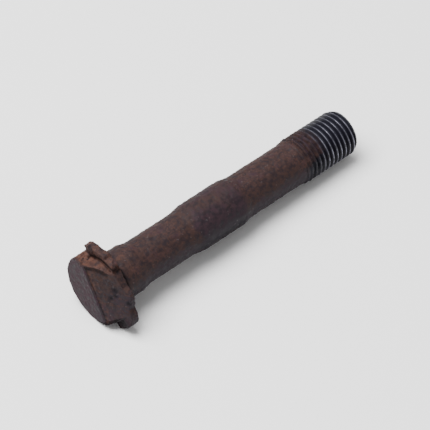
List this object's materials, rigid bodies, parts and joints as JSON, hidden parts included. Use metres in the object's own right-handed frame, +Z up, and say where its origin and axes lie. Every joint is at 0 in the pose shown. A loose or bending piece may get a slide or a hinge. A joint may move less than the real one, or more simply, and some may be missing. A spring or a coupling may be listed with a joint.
{
  "type": "connecting rod bolt",
  "caption": "Rusty connecting rod bolt: round head with a sloping relief, a flat, two ears and a hollow, waisted shank with fitted lands, fine thread at the tip.",
  "frame": {"origin": "on the floor under the middle of the bolt's outside box, with the bolt lying on its head's rim and its tip, its lower ear just over the floor", "axes": "+X along the bolt from the head to the tip, dipping 2.4 degrees to the floor; the relief on the head looks to -Y and up; +Z up"},
  "size_m": [0.0744, 0.018, 0.0173],
  "materials": {
    "rusted_steel": "forged steel, dark rust, bare black thread at the tip"
  },
  "bodies": {
    "root": {"rod_bolt": "rusted_steel"}
  },
  "joints": []
}
